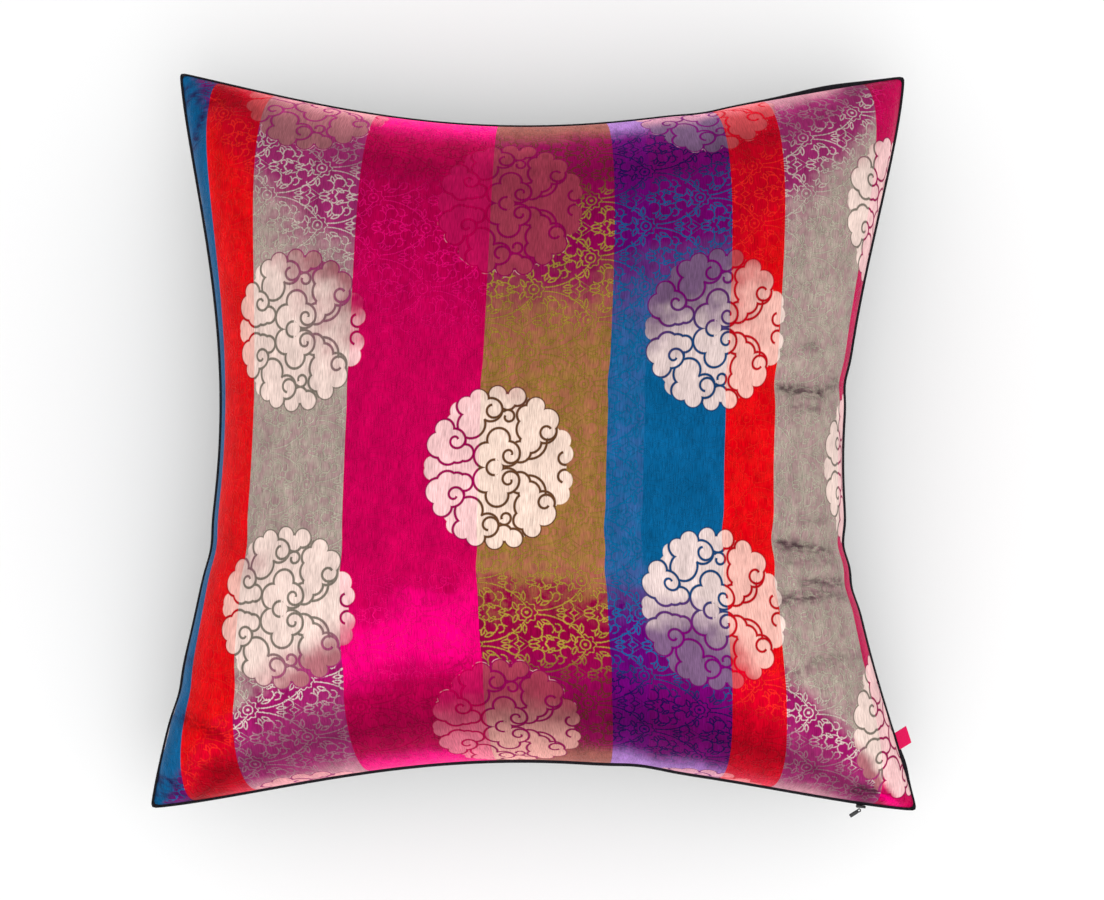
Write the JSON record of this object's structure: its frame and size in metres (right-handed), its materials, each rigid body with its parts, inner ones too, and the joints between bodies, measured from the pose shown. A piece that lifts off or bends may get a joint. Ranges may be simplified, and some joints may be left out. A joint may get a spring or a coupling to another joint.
{
  "type": "scatter cushion",
  "caption": "Square filled scatter cushion with a striped brocade face, plain black back, drawn-in sides, soft ears, a bare side label and a zip pull.",
  "frame": {"origin": "under the middle of the cushion's outer box, on the surface that it lies on", "axes": "+X right across the face, +Y up the face to its top edge, +Z out of the face"},
  "size_m": [0.4444, 0.4384, 0.1647],
  "materials": {
    "back_cloth": "plain black woven cotton, matt",
    "brocade": "striped silk-type brocade with a magenta weft, satin sheen",
    "label_tape": "folded crimson satin tape, bare",
    "zip_enamel": "black enamelled zip metal"
  },
  "bodies": {
    "root": {"filled_cushion": "back_cloth", "front_panel": "brocade", "side_label": "label_tape", "zip_slider": "zip_enamel", "zip_pull": "zip_enamel"}
  },
  "joints": []
}
